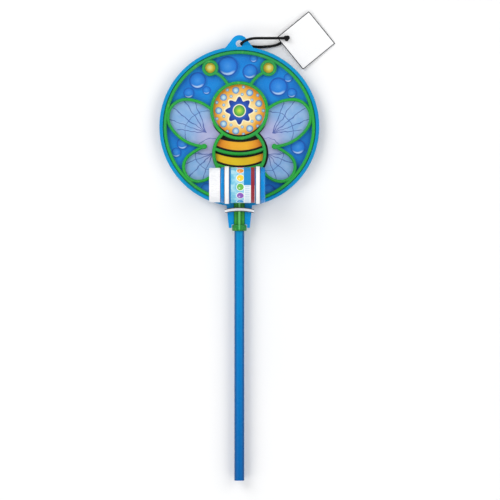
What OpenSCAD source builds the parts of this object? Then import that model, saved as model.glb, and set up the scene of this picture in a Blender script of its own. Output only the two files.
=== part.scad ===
// Bubble wand set lying on its back: a shallow dip tray, a printed card, a looped wand on a
// hollow rod, a small bottle of bubble solution strapped to the card, and a hang tag on a cord.
// X runs to the right, Y along the handle towards the hang tab, Z up from the table.
// The origin is the middle of the tray's underside. Sizes are in millimetres.

/* [Dip tray] */
// Outside diameter of the tray over its rolled rim
tray_d = 180; // [160:1:200]
// Thickness of the moulded tray
tray_wall = 1.6; // [1.2:0.1:2]
// Width of the rolled rim seen from above
rim_w = 4; // [3.6:0.1:5]
// Depth of the lip that is turned down around the rim
lip_h = 3.2; // [2.4:0.1:4]
// Rounding of the rim's upper edges
rim_round = 0.8; // [0.4:0.1:1]
// Width of the ledge that carries the card
ledge_w = 5; // [4:0.1:6]
// Depth of the dish below the ledge
dish_depth = 4.8; // [4.4:0.1:6]
// How far the dish wall leans outwards on its way up
dish_draft = 1.5; // [0.5:0.1:2]
// How far the rim stays below the top of the wand's ring
rim_drop = 0.1; // [0:0.1:0.6]

/* [Hang tab] */
// Diameter of the hang hole
hang_hole_d = 8; // [7:0.1:9]
// Distance of the hang hole's middle from the outside of the rim
hang_hole_out = 3.2; // [2:0.1:5]
// Radius of the tab's round end
tab_r = 9.6; // [8.5:0.1:12]
// Half the width of the tab where it leaves the rim
tab_root = 17.4; // [15:0.1:20]

/* [Spout] */
// Half the width of the spout where it leaves the rim
spout_root = 14.6; // [14:0.1:17]
// Half the width of the spout at its end
spout_tip = 11.8; // [11.4:0.1:13]
// Length of the spout past the outside of the rim
spout_len = 24; // [20:0.5:30]
// Clearance around the stem and the collar in the spout
channel_gap = 0.4; // [0.3:0.1:0.8]

/* [Printed card] */
// Thickness of the printed card
card_t = 0.6; // [0.4:0.1:1]
// Clearance between the card's edge and the tray
card_gap = 0.4; // [0.3:0.1:1]
// Clearance around a strap in its slit
slit_gap = 0.4; // [0.3:0.1:0.8]

/* [Wand ring and film loops] */
// Clearance between the ring and the tray's wall
ring_gap = 0.5; // [0.3:0.1:1]
// Width of the outer ring seen from above
ring_w = 3.8; // [3.2:0.1:4.6]
// Height of the outer ring
ring_h = 5; // [4.4:0.1:6]
// Width of the ribs around the film loops
rib_w = 3.6; // [3.2:0.1:4.2]
// Height of the ribs around the film loops
rib_h = 3.8; // [3.2:0.1:4.2]
// Bevel along the edges of the ring and the ribs
rib_bevel = 1; // [0.6:0.1:1.2]
// How far a loop runs into the outer ring
loop_sink = 1.3; // [0.8:0.1:1.7]
// Inner radius of the ring that the loop sizes below are drawn for
figure_r = 81.7; // [78:0.1:86]
// Height of the head loop's middle above the ring's middle
head_y = 18.1; // [16:0.1:20]
// Radius of the head loop along its rib
head_r = 31.2; // [29:0.1:33]
// Depth of the body loop's lowest point below the ring's middle
body_low = 58.7; // [57:0.1:60]
// Radius of the body loop along its rib
body_r = 28.7; // [27:0.1:30]
// Radius of the bars across the body
bar_r = 67; // [55:1:80]
// Depth of the upper bar's middle below the ring's middle
bar_upper_y = 30.8; // [28:0.1:33]
// Depth of the lower bar's middle below the ring's middle
bar_lower_y = 47.7; // [44:0.1:50]
// Radius of the small feeler loops along their ribs
feeler_r = 7.5; // [6.5:0.1:8.5]
// Angle of a feeler loop above the X axis
feeler_a = 63.6; // [60:0.1:67]
// Bend radius of the feeler arms
feeler_bend = 30; // [22:1:60]
// Angle on the head loop where a feeler arm starts
feeler_root_a = 66; // [62:0.5:70]
// Radius of the upper wing's lobe along its rib
wing_r = 20.3; // [18:0.1:22]
// Angle of the upper wing's lobe above the X axis
wing_a = 9.7; // [7:0.1:12]
// Angle on the lobe where its upper edge starts
wing_top_a = 92; // [84:1:98]
// Angle on the lobe where its lower edge starts
wing_low_a = -32; // [-40:1:-26]
// Angle on the head loop where the upper wing joins it
wing_root_a = 2; // [-6:1:8]
// Radius of the lower wing's lobe along its rib
tail_wing_r = 16.4; // [15:0.1:17.5]
// Angle of the lower wing's lobe below the X axis
tail_wing_a = 44.3; // [42:0.1:47]
// Angle on the lower lobe where its upper edge starts
tail_wing_top_a = 50; // [44:1:56]
// Angle on the lower lobe where its lower edge starts
tail_wing_low_a = -95; // [-110:1:-84]
// Angle on the body loop where the lower wing joins it
tail_root_a = -31; // [-36:1:-26]
// How much the wings' edges are thinner all round than the lobes they run into
edge_step = 0.1; // [0.08:0.01:0.15]
// How far the wings' edges run into their lobes
edge_lap = 1.2; // [0.8:0.1:1.3]
// Distance of the wing cusp from the ring's middle
cusp_out = 45.3; // [44:0.1:47]
// Angle of the wing cusp below the X axis
cusp_a = 29.5; // [28:0.1:31]
// Radius of the wing cusp's round end
cusp_r = 3; // [2.4:0.1:3.4]

/* [Stem and rod] */
// Diameter over the fins of the stem
stem_d = 11.8; // [11:0.1:12.6]
// Thickness of a stem fin
fin_t = 2.4; // [2:0.1:3]
// Diameter of the stem's core
core_d = 6.4; // [5:0.1:7]
// Width of the flat bar between the body loop and the stem
tail_w = 8; // [6:0.1:10]
// Diameter of the collar that the rod butts against
collar_d = 16.4; // [15:0.1:17.6]
// Thickness of the collar
collar_t = 6.8; // [5:0.1:8]
// Rounding of the collar's edges
collar_round = 1.2; // [0.6:0.1:1.5]
// How far the collar starts before the spout's end
collar_lap = 3.4; // [2:0.1:5]
// Outside diameter of the rod
rod_d = 11.2; // [10:0.1:13]
// Wall of the rod
rod_wall = 1.1; // [0.8:0.1:1.5]
// Length of the rod
rod_len = 280.5; // [200:0.5:340]
// Length of the spigot inside the rod
spigot_len = 22; // [15:0.5:30]
// Radial clearance of the spigot in the rod
spigot_gap = 0.05; // [0.02:0.01:0.1]
// Diameter of the spigot's leading end
spigot_end_d = 6; // [5:0.1:6.5]

/* [Bottle] */
// Diameter of the bottle
bottle_d = 40; // [36:0.1:42]
// Length of the bottle from its base to its shoulder
bottle_len = 49.7; // [46:0.1:56]
// Wall of the bottle
bottle_wall = 1.2; // [0.9:0.1:1.6]
// Rounding of the bottle's base and shoulder
bottle_round = 2; // [1:0.1:3]
// Height of the hollow under the base
punt_h = 1.6; // [1:0.1:2.5]
// Diameter of the neck
neck_d = 33; // [30:0.1:34]
// Length of the neck
neck_len = 9.9; // [8:0.1:12]
// Distance of the bottle's middle line below the body loop's rib beside the nearer strap
bottle_below = 7.85; // [7.5:0.05:9]
// Place of the bottle's base to the right of the handle
bottle_base_x = 28.9; // [27:0.1:31]
// Gap between the wand and the bottle that lies on it
bottle_gap = 0.3; // [0.2:0.1:0.6]
// Share of the bottle's inside that the solution reaches up to
fill_share = 0.72; // [0.55:0.01:0.9]
// Gap between the solution and the bottle's wall
fill_gap = 0.1; // [0.05:0.01:0.3]

/* [Bottle label] */
// Thickness of the label
label_t = 0.2; // [0.1:0.05:0.3]
// Depth of the flat band that the label lies in
label_recess = 0.35; // [0.3:0.05:0.6]
// Distance of the label from the bottle's base
label_up = 11.5; // [11:0.1:12.5]
// Height of the label
label_h = 26.7; // [24:0.1:27.5]
// Width of the gap where the label's ends meet
label_seam = 0.6; // [0.3:0.1:2]

/* [Screw cap] */
// Diameter of the cap
cap_d = 38.4; // [37.6:0.1:40]
// Thickness of the cap's skirt between its grips
cap_wall = 1.7; // [1.4:0.1:2]
// Thickness of the cap's top
cap_top = 1.7; // [1.2:0.1:2.2]
// Gap between the cap's skirt and the bottle's shoulder
cap_gap = 0.4; // [0.3:0.1:1]
// Number of grip flutes around the cap
flute_count = 48; // [24:1:60]
// Radius of a grip flute
flute_r = 0.7; // [0.5:0.05:0.9]
// How far a flute's middle lies outside the cap
flute_out = 0.25; // [0.15:0.05:0.4]
// Thickness of the sealing liner in the cap
liner_t = 0.8; // [0.5:0.1:1.2]
// Clearance between the liner, the neck and the cap
liner_gap = 0.1; // [0.05:0.05:0.3]

/* [Straps] */
// Thickness of the bottle straps
strap_t = 0.7; // [0.5:0.1:1]
// Clearance of the straps around the bottle and under the card
strap_gap = 0.25; // [0.2:0.05:0.4]
// Width of the strap near the cap
strap_cap_w = 5.7; // [4:0.1:6]
// Distance of the cap's strap from the bottle's base
strap_cap_up = 39.9; // [39.4:0.1:41]
// Width of the strap near the base
strap_base_w = 5.2; // [4:0.1:5.6]
// Distance of the base's strap from the bottle's base
strap_base_up = 5.5; // [4:0.1:5.8]
// Distance between the two runs of a strap where it passes through the card
strap_run = 5.6; // [4:0.1:7]
// Distance of the runs' middle below the bottle's middle line
strap_low_y = 3.6; // [3:0.1:4]
// Inner radius of the strap's turns below the card
strap_turn_r = 1; // [0.8:0.1:1.4]
// Thickness of the clip that holds the stem in the spout
clip_t = 1.6; // [1.2:0.1:2]
// Width of the clip
clip_w = 4.5; // [3.5:0.1:5.5]
// Distance of the clip from the outside of the rim
clip_out = 1; // [0.6:0.1:3]
// Clearance of the clip over the stem and beside the spout
clip_gap = 0.3; // [0.2:0.1:0.6]
// Rounding of the clip's outer corners
clip_round = 3; // [2:0.1:4]
// How far the clip's legs lie below the middle of its bow
clip_bow = 2; // [1:0.1:3]
// How far the clip's legs reach below the spout's plate
clip_leg = 5; // [3:0.1:6]

/* [Hang tag] */
// Side of the square tag
tag_side = 46.8; // [40:0.1:52]
// Thickness of the tag
tag_t = 0.5; // [0.3:0.1:0.8]
// Distance of the tag's hole from its corner
tag_hole_in = 11.3; // [9:0.1:14]
// Diameter of the tag's hole
tag_hole_d = 4.4; // [4:0.1:5]
// Room beside the cord under the tag's near corner
tag_lift = 0.6; // [0.4:0.1:1]
// Diameter of the cord
cord_d = 3; // [2.4:0.1:3.2]
// Radius of the knot's lower turn along the cord
knot_r = 1.8; // [1.6:0.1:2]
// Lean of the knot's upper turn
knot_lean = 60; // [45:1:70]
// Direction of the knot's upper turn
knot_turn = 30; // [0:1:90]

/* [Hidden] */
$fn = 64;

// Seats: flat faces of different pieces lie this far apart
seat = 0.1;
// Cutters reach this far past what they cut
past = 1;

// Levels above the table
floor_z = tray_wall;
ledge_z = floor_z + dish_depth;
card_z = ledge_z + seat;
ring_z = card_z + card_t + seat;
ring_top_z = ring_z + ring_h;
wand_z = ring_z + ring_h / 2;
rim_z = ring_top_z - rim_drop;
plate_z = rim_z - tray_wall;

// Tray radii
tray_r = tray_d / 2;
wall_r = tray_r - rim_w;
dish_r = wall_r - ledge_w;
dish_floor_r = dish_r - dish_draft;

// Ring radii, and the circle that the loops' outer ribs reach
ring_r_out = wall_r - ring_gap;
ring_r_in = ring_r_out - ring_w;
reach_r = ring_r_in + loop_sink - rib_w / 2;

// Spout and stem along Y
spout_end_y = tray_r + spout_len;
collar_y = spout_end_y - collar_lap;
channel_r = stem_d / 2 + channel_gap;
notch_r = collar_d / 2 + channel_gap;
stem_y = ring_r_in - ring_w;
rod_y = collar_y + collar_t;
rod_bore_d = rod_d - 2 * rod_wall;

// Film loop sizes, drawn larger or smaller with the ring
function polar(r, a) = [r * cos(a), r * sin(a)];
fit = ring_r_in / figure_r;
head_rib_r = head_r * fit;
body_rib_r = body_r * fit;
bar_rib_r = bar_r * fit;
feeler_rib_r = feeler_r * fit;
wing_rib_r = wing_r * fit;
tail_rib_r = tail_wing_r * fit;

// Film loop places, for the right half
body_y = (body_low - body_r) * fit;
head_c = [0, head_y * fit];
body_c = [0, -body_y];
feeler_c = polar(reach_r - feeler_rib_r, feeler_a);
wing_c = polar(reach_r - wing_rib_r, wing_a);
tail_wing_c = polar(reach_r - tail_rib_r, -tail_wing_a);
cusp = polar(cusp_out * fit, -cusp_a);

// Bottle places: the straps beside the handle pass just below the body loop's rib
bottle_r = bottle_d / 2;
strap_near_x = min(abs(bottle_base_x - strap_cap_up),
    abs(bottle_base_x - strap_base_up - strap_base_w));
body_rim_r = body_rib_r + rib_w / 2;
rib_edge_y = body_y + sqrt(body_rim_r * body_rim_r - strap_near_x * strap_near_x);
bottle_y = rib_edge_y + bottle_below;
bottle_z = ring_top_z + bottle_gap + bottle_r;
neck_top = bottle_len + neck_len;
liner_up = neck_top + liner_gap;
cap_inside_top = liner_up + liner_t + liner_gap;
cap_len = cap_inside_top + cap_top - bottle_len - cap_gap;
cap_bore_r = cap_d / 2 - cap_wall;

// Strap places: the lower turns hang just under the card
strap_bottom_z = card_z - strap_gap;
strap_turn_z = strap_bottom_z + strap_turn_r;
strap_mid_y = -bottle_y - strap_low_y;
strap_hold_r = bottle_r + strap_gap;

// Tag places: the tag leans on the cord under its near corner
hang_y = tray_r + hang_hole_out;
tag_off = [53.4, 6.5];
tag_turn = -5.7;
tag_diagonal = tag_side * sqrt(2);
tag_far = tag_diagonal - tag_hole_in;
tag_rise = cord_d + tag_lift;
tag_tilt = asin(tag_rise / tag_far);

// The cord's route beside the hang hole, from the knot over the tab, through the hole and back
cord_route = [
    [51.2, 6.5, 6.2],
    [45, 6.5, 7.4],
    [37, 6.3, 9.6],
    [29, 6.1, 12.2],
    [21, 5.9, 14.8],
    [15, 5.4, 16.8],
    [10, 4.2, 17.6],
    [5.8, 2.4, 16.8],
    [3.2, 0.8, 14.6],
    [2.2, 0, 11.3],
    [3.1, -0.6, 8],
    [6.2, -1.3, 5.2],
    [11, -2.1, 3.6],
    [16, -2.7, 2.7],
    [22, -3, 2.1],
    [29, -2.8, 1.7],
    [36, -2.1, 1.6],
    [42, -0.8, 1.6],
    [46.6, 1.4, 1.6],
    [50.4, 4.2, 1.7],
    [52.4, 5.7, 1.7],
];
cord_steps = 2;
cord_sides = 8;

// Where two circles meet, on the left (1) or the right (-1) of the line between them
function circles_meet(c1, r1, c2, r2, side) =
    let (
        way = c2 - c1,
        d = norm(way),
        along = (r1 * r1 - r2 * r2 + d * d) / (2 * d),
        off = sqrt(max(0, r1 * r1 - along * along))
    )
    c1 + way * along / d + [-way[1], way[0]] * side * off / d;

// Angle of a point seen from a middle
function bearing(c, p) = atan2(p[1] - c[1], p[0] - c[0]);

// Radius of the arc that leaves a point square to a direction and passes through another point
function leaving_r(p, dir, q) = ((p - q) * (p - q)) / (2 * (p - q) * dir);

// Middle of an arc of a given radius through two points, on the right of the way between them
function arc_middle(p, q, r) =
    let (way = q - p, half = norm(way) / 2)
    (p + q) / 2 + [way[1], -way[0]] / norm(way) * sqrt(max(0, r * r - half * half));

// Where a line from a point touches a circle, on the left (1) or the right (-1) seen from the point
function touch_point(p, c, r, side) =
    let (d = norm(c - p), a = bearing(c, p) - side * acos(r / d))
    c + polar(r, a);

// Outward direction of the outer tangent of two circles on the left (1) or right (-1) of their line
function belt_dir(c1, r1, c2, r2, side) =
    polar(1, bearing(c1, c2) + side * acos((r1 - r2) / norm(c2 - c1)));

// Section of a rib with bevelled edges, around its middle
module rib_section(w, h) {
    b = rib_bevel;
    polygon([
        [-w / 2, b - h / 2], [b - w / 2, -h / 2], [w / 2 - b, -h / 2], [w / 2, b - h / 2],
        [w / 2, h / 2 - b], [w / 2 - b, h / 2], [b - w / 2, h / 2], [-w / 2, h / 2 - b],
    ]);
}

// A rib along an arc, counter-clockwise from one angle to another
module rib_arc(c, r, from, to, w, h) {
    translate([c[0], c[1], wand_z])
        rotate([0, 0, from])
            rotate_extrude(angle = to - from)
                translate([r, 0])
                    rib_section(w, h);
}

// A wing's edge along an arc, a little thinner than the lobe that one end of it runs into
module edge_arc(c, r, from, to) {
    rib_arc(c, r, from, to, rib_w - 2 * edge_step, rib_h - 2 * edge_step);
}

// Angle on a wing's edge that its end runs into the lobe
function lap_a(r) = edge_lap / r * 180 / PI;

// A whole ring of rib
module rib_ring(c, r, w, h) {
    translate([c[0], c[1], wand_z])
        rotate_extrude()
            translate([r, 0])
                rib_section(w, h);
}

// A straight rib
module rib_line(p, q, w, h) {
    translate([p[0], p[1], wand_z])
        rotate([0, 0, bearing(p, q)])
            rotate([90, 0, 90])
                linear_extrude(norm(q - p))
                    rib_section(w, h);
}

// A bar across the body, bowed downwards, from rib to rib
module body_bar(mid_y) {
    c = [0, bar_rib_r - mid_y];
    reach = circles_meet(c, bar_rib_r, body_c, body_rib_r, -1);
    right_a = bearing(c, [abs(reach[0]), reach[1]]);
    rib_arc(c, bar_rib_r, -180 - right_a, right_a, rib_w, rib_h);
}

// The small loop at a feeler's end and the bowed arm that carries it
module feeler() {
    root = head_c + polar(head_rib_r, feeler_root_a);
    tip = feeler_c + polar(feeler_rib_r, bearing(feeler_c, root));
    bend = feeler_bend * fit;
    c = arc_middle(root, tip, bend);
    rib_ring(feeler_c, feeler_rib_r, rib_w, rib_h);
    rib_arc(c, bend, bearing(c, tip), bearing(c, root), rib_w, rib_h);
}

// The upper wing: its lobe, and the edges that run from it to the head and to the cusp
module upper_wing() {
    top_dir = polar(1, wing_top_a);
    top_at = wing_c + top_dir * wing_rib_r;
    root = head_c + polar(head_rib_r, wing_root_a);
    top_r = leaving_r(top_at, top_dir, root);
    top_c = top_at - top_dir * top_r;
    low_dir = polar(1, wing_low_a);
    low_at = wing_c + low_dir * wing_rib_r;
    low_r = leaving_r(low_at, low_dir, cusp);
    low_c = low_at - low_dir * low_r;
    rib_arc(wing_c, wing_rib_r, wing_low_a, wing_top_a, rib_w, rib_h);
    edge_arc(top_c, top_r, wing_top_a - lap_a(top_r), bearing(top_c, root));
    edge_arc(low_c, low_r, bearing(low_c, cusp), wing_low_a + lap_a(low_r));
}

// The lower wing: its lobe, and the edges that run from it to the cusp and to the body
module lower_wing() {
    top_dir = polar(1, tail_wing_top_a);
    top_at = tail_wing_c + top_dir * tail_rib_r;
    top_r = leaving_r(top_at, top_dir, cusp);
    top_c = top_at - top_dir * top_r;
    low_dir = polar(1, tail_wing_low_a);
    low_at = tail_wing_c + low_dir * tail_rib_r;
    root = body_c + polar(body_rib_r, tail_root_a);
    low_r = leaving_r(low_at, low_dir, root);
    low_c = low_at - low_dir * low_r;
    root_a = bearing(low_c, root);
    low_start_a = root_a > tail_wing_low_a ? root_a - 360 : root_a;
    rib_arc(tail_wing_c, tail_rib_r, tail_wing_low_a, tail_wing_top_a, rib_w, rib_h);
    edge_arc(top_c, top_r, tail_wing_top_a - lap_a(top_r), bearing(top_c, cusp));
    edge_arc(low_c, low_r, low_start_a, tail_wing_low_a + lap_a(low_r));
    rib_button(cusp, cusp_r);
}

// A round bevelled button at a rib's free end
module rib_button(c, r) {
    b = rib_bevel;
    translate([c[0], c[1], wand_z])
        rotate_extrude()
            polygon([
                [0, -rib_h / 2], [r - b, -rib_h / 2], [r, b - rib_h / 2],
                [r, rib_h / 2 - b], [r - b, rib_h / 2], [0, rib_h / 2],
            ]);
}

// Places its children along the handle's axis, from a distance down the handle
module down_handle(y) {
    translate([0, -y, wand_z])
        rotate([90, 0, 0])
            children();
}

// A round bar with rounded ends, as a turned profile
module rounded_disc(r, t, round) {
    rotate_extrude()
        union() {
            square([r - round, t]);
            translate([0, round])
                square([r, t - 2 * round]);
            for (z = [round, t - round])
                translate([r - round, z])
                    circle(round);
        }
}

// The stem: four fins around a core, with the collar and the rod's spigot
module stem() {
    len = collar_y - stem_y;
    down_handle(stem_y)
        linear_extrude(len + collar_round) {
            circle(d = core_d);
            intersection() {
                circle(d = stem_d);
                union() {
                    square([stem_d, fin_t], center = true);
                    square([fin_t, stem_d], center = true);
                }
            }
        }
    down_handle(collar_y)
        rounded_disc(collar_d / 2, collar_t, collar_round);
    spigot_r = rod_bore_d / 2 - spigot_gap;
    down_handle(rod_y - collar_round) {
        cylinder(h = spigot_len, r = spigot_r);
        translate([0, 0, spigot_len])
            cylinder(h = spigot_r - spigot_end_d / 2, r1 = spigot_r, r2 = spigot_end_d / 2);
    }
}

// The moulded wand: the ring, the film loops in it, the stem, the collar and the spigot
module wand_frame() color("limegreen") {
    body_meet = circles_meet(head_c, head_rib_r, body_c, body_rib_r, 1);
    body_right_a = bearing(body_c, body_meet);
    rib_ring([0, 0], (ring_r_in + ring_r_out) / 2, ring_w, ring_h);
    rib_ring(head_c, head_rib_r, rib_w, rib_h);
    rib_arc(body_c, body_rib_r, -180 - body_right_a, body_right_a, rib_w, rib_h);
    body_bar(bar_upper_y * fit);
    body_bar(bar_lower_y * fit);
    for (half = [0, 1])
        mirror([half, 0, 0]) {
            feeler();
            upper_wing();
            lower_wing();
        }
    rib_line([0, -body_y - body_rib_r], [0, -ring_r_in - ring_w / 2], tail_w, ring_h);
    stem();
}

// The rod: a plain tube pushed over the spigot against the collar
module handle_rod() color("dodgerblue") {
    down_handle(rod_y + seat)
        difference() {
            cylinder(h = rod_len, d = rod_d);
            translate([0, 0, -past])
                cylinder(h = rod_len + 2 * past, d = rod_bore_d);
        }
}

// Half section of the dish: floor, leaning wall, ledge, upper wall and rolled rim with its lip
module tray_section() {
    t = tray_wall;
    outer_r = wall_r + t;
    lip_r = tray_r - t;
    polygon([
        [0, 0], [dish_floor_r, 0], [dish_r + t, ledge_z - t], [outer_r, ledge_z - t],
        [outer_r, rim_z - t], [wall_r, rim_z - t], [wall_r, ledge_z], [dish_r, ledge_z],
        [dish_floor_r, floor_z], [0, floor_z],
    ]);
    translate([wall_r, plate_z])
        square([rim_w, t - rim_round]);
    translate([wall_r + rim_round, plate_z])
        square([rim_w - 2 * rim_round, t]);
    for (r = [wall_r + rim_round, tray_r - rim_round])
        translate([r, rim_z - rim_round])
            circle(rim_round);
    translate([lip_r, rim_z - lip_h])
        square([t, lip_h - rim_round]);
}

// Outline of the hang tab, from the rim to its round end
module tab_outline() {
    hole = [0, hang_y];
    root = [tab_root, sqrt(tray_r * tray_r - tab_root * tab_root) - rim_w / 2];
    touch = touch_point(root, hole, tab_r, -1);
    translate(hole)
        circle(tab_r);
    polygon([
        [-root[0], root[1]], root, touch, hole, [-touch[0], touch[1]],
    ]);
}

// Outline of the spout's plate, from the rim to its square end
module spout_outline() {
    root_y = sqrt(tray_r * tray_r - spout_root * spout_root) - rim_w / 2;
    polygon([
        [-spout_root, -root_y], [-spout_tip, -spout_end_y],
        [spout_tip, -spout_end_y], [spout_root, -root_y],
    ]);
}

// Turned-down lip along one side of the spout's plate
module spout_lip() {
    root_y = sqrt(tray_r * tray_r - spout_root * spout_root) - rim_w / 2;
    translate([0, 0, rim_z - lip_h])
        linear_extrude(lip_h - tray_wall / 2)
            polygon([
                [spout_root - tray_wall, -root_y], [spout_tip - tray_wall, -spout_end_y],
                [spout_tip, -spout_end_y], [spout_root, -root_y],
            ]);
}

// The half pipe under the stem, cut off above the spout's plate and above the tray's ledge
module channel_pipe(len) {
    difference() {
        down_handle(dish_r)
            cylinder(h = len, r = channel_r + tray_wall);
        translate([-tray_r, -spout_end_y, rim_z - tray_wall / 2])
            cube([tray_d, spout_end_y, rim_z]);
        translate([0, 0, ledge_z - tray_wall / 2])
            cylinder(h = rim_z, r = wall_r + tray_wall / 2);
    }
}

// The dip tray with its hang tab, its spout and the channel that the stem lies in
module dip_tray() color("deepskyblue") {
    channel_len = collar_y - channel_gap - dish_r;
    difference() {
        union() {
            rotate_extrude()
                tray_section();
            translate([0, 0, plate_z])
                linear_extrude(tray_wall)
                    difference() {
                        union() {
                            tab_outline();
                            spout_outline();
                        }
                        circle(wall_r + rim_w / 2);
                    }
            spout_lip();
            mirror([1, 0, 0])
                spout_lip();
            channel_pipe(channel_len);
        }
        translate([0, hang_y, plate_z - past])
            cylinder(h = tray_wall + 2 * past, d = hang_hole_d);
        down_handle(dish_floor_r - past)
            cylinder(h = channel_len + dish_draft + 2 * past, r = channel_r);
        translate([-channel_r, -spout_end_y - past, wand_z])
            cube([2 * channel_r, spout_end_y - dish_r + 2 * past, rim_z]);
        translate([-notch_r, -spout_end_y - past, plate_z - past])
            cube([2 * notch_r, spout_end_y - collar_y + channel_gap + past, tray_wall + 2 * past]);
    }
}

// The printed card: a disc on the tray's ledge, notched at the stem and slit for the straps
module printed_card() color("royalblue") {
    card_r = wall_r - card_gap;
    notch_w = stem_d / 2 + slit_gap;
    translate([0, 0, card_z])
        linear_extrude(card_t)
            difference() {
                circle(card_r);
                translate([-notch_w, -tray_r])
                    square([2 * notch_w, tray_r - stem_y + slit_gap]);
                for (side = [-1, 1]) {
                    strap_slit(side, strap_cap_up, strap_cap_w);
                    strap_slit(side, strap_base_up, strap_base_w);
                }
            }
}

// Area of the slit that one run of a strap passes through, with clearance all round
module strap_slit(side, up, w) {
    inner = belt_y(side, 0, card_z) - side * slit_gap;
    outer = belt_y(side, strap_t, card_z + card_t) + side * slit_gap;
    translate([bottle_base_x - up - w - slit_gap, min(inner, outer)])
        square([w + 2 * slit_gap, abs(outer - inner)]);
}

// Middle of the strap's lower turn on one side, in the plane across the bottle
function belt_turn(side) = [strap_mid_y + side * strap_run / 2, strap_turn_z];

// Outward direction of the strap's straight run on one side
function run_dir(side) =
    belt_dir([-bottle_y, bottle_z], strap_hold_r, belt_turn(side), strap_turn_r, side);

// Place along Y of the strap's run on one side, at a level and a distance from its inner face
function belt_y(side, grow, z) =
    let (dir = run_dir(side))
    (belt_turn(side) * dir + strap_turn_r + grow - z * dir[1]) / dir[0];

// Area inside a belt around the bottle and the two lower turns, grown by a thickness
module belt_area(grow) {
    big = [-bottle_y, bottle_z];
    big_r = strap_hold_r + grow;
    small_r = strap_turn_r + grow;
    low = belt_turn(-1);
    high = belt_turn(1);
    low_dir = run_dir(-1);
    high_dir = run_dir(1);
    translate(big)
        circle(big_r);
    for (turn = [low, high])
        translate(turn)
            circle(small_r);
    polygon([
        big, big + low_dir * big_r, low + low_dir * small_r, low, low - [0, small_r],
        high - [0, small_r], high, high + high_dir * small_r, big + high_dir * big_r,
    ]);
}

// One closed strap around the bottle, threaded through the card's slits
module strap(up, w) {
    translate([bottle_base_x - up - w, 0, 0])
        rotate([90, 0, 90])
            linear_extrude(w)
                difference() {
                    belt_area(strap_t);
                    belt_area(0);
                }
}

module strap_cap_end() color("white") strap(strap_cap_up, strap_cap_w);

module strap_base_end() color("white") strap(strap_base_up, strap_base_w);

// The clip over the stem: an arch with two legs that grip the sides of the spout
module neck_clip() color("white") {
    inner_w = spout_root + clip_gap;
    outer_w = inner_w + clip_t;
    inner_top = wand_z + stem_d / 2 + clip_gap;
    outer_top = inner_top + clip_t;
    foot_z = plate_z - clip_leg;
    bow_r = (outer_w * outer_w + clip_bow * clip_bow) / (2 * clip_bow);
    translate([0, -tray_r - clip_out, 0])
        intersection() {
            rotate([90, 0, 0])
                linear_extrude(clip_w + clip_bow + past)
                    difference() {
                        arch_area(outer_w, foot_z, outer_top, clip_round);
                        arch_area(inner_w, foot_z - past, inner_top, clip_round - clip_t);
                    }
            translate([0, -bow_r, foot_z - past])
                difference() {
                    cylinder(h = outer_top - foot_z + 2 * past, r = bow_r);
                    translate([0, -clip_w, -past])
                        cylinder(h = outer_top - foot_z + 4 * past, r = bow_r);
                }
        }
}

// Area under an arch with rounded upper corners
module arch_area(half_w, low, high, round) {
    translate([-half_w, low])
        square([2 * half_w, high - round - low]);
    translate([round - half_w, low])
        square([2 * (half_w - round), high - low]);
    for (x = [round - half_w, half_w - round])
        translate([x, high - round])
            circle(round);
}

// Places its children with the bottle's base at the origin and its cap upwards, then lays it down
module lay_bottle() {
    translate([bottle_base_x, -bottle_y, bottle_z])
        rotate([0, -90, 0])
            children();
}

// Half section of a rounded can, from its middle line out
module can_section(r, low, high, round) {
    translate([0, low])
        square([r - round, high - low]);
    translate([0, low + round])
        square([r, high - low - 2 * round]);
    for (z = [low + round, high - round])
        translate([r - round, z])
            circle(round);
}

// Half section of the bottle's inside, grown smaller by a gap
module inside_section(gap) {
    can_section(bottle_r - label_recess - bottle_wall - gap, punt_h + bottle_wall + gap,
        bottle_len - bottle_wall - gap, bottle_round);
}

// The bottle: a blown can with a hollow base, a band for the label, a shoulder and a neck
module bottle() color("dodgerblue") {
    neck_bore_r = neck_d / 2 - bottle_wall;
    punt_r = bottle_r - 2 * bottle_round;
    lay_bottle()
        rotate_extrude()
            difference() {
                union() {
                    can_section(bottle_r, 0, bottle_len, bottle_round);
                    translate([0, bottle_len - bottle_wall])
                        square([neck_d / 2, neck_len + bottle_wall]);
                }
                polygon([[0, -past], [punt_r, -past], [punt_r, 0], [punt_r - punt_h, punt_h],
                    [0, punt_h]]);
                translate([bottle_r - label_recess, label_up - label_recess])
                    square([label_recess + past, label_h + 2 * label_recess]);
                inside_section(0);
                translate([0, bottle_len - 2 * bottle_wall])
                    square([neck_bore_r, neck_len + 2 * bottle_wall + past]);
            }
}

// The label: one turn of thin paper around the bottle's flat band
module bottle_label() color("paleturquoise") {
    outer_r = bottle_r - (label_recess - label_t) / 2;
    lay_bottle()
        translate([0, 0, label_up])
            difference() {
                cylinder(h = label_h, r = outer_r);
                translate([0, 0, -past])
                    cylinder(h = label_h + 2 * past, r = outer_r - label_t);
                translate([-bottle_r - past, -label_seam / 2, -past])
                    cube([bottle_r, label_seam, label_h + 2 * past]);
            }
}

// The solution: the bottle's inside up to a level surface
module bubble_solution() color("lightcyan") {
    inside_r = bottle_r - label_recess - bottle_wall;
    level = bottle_z - inside_r + 2 * inside_r * fill_share;
    intersection() {
        lay_bottle()
            rotate_extrude()
                inside_section(fill_gap);
        translate([bottle_base_x - neck_top, -bottle_y - bottle_r, bottle_z - bottle_r])
            cube([neck_top, bottle_d, level - bottle_z + bottle_r]);
    }
}

// The liner: a soft disc between the neck and the cap's top
module cap_liner() color("gainsboro") {
    lay_bottle()
        translate([0, 0, liner_up])
            cylinder(h = liner_t, r = cap_bore_r - liner_gap);
}

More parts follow.
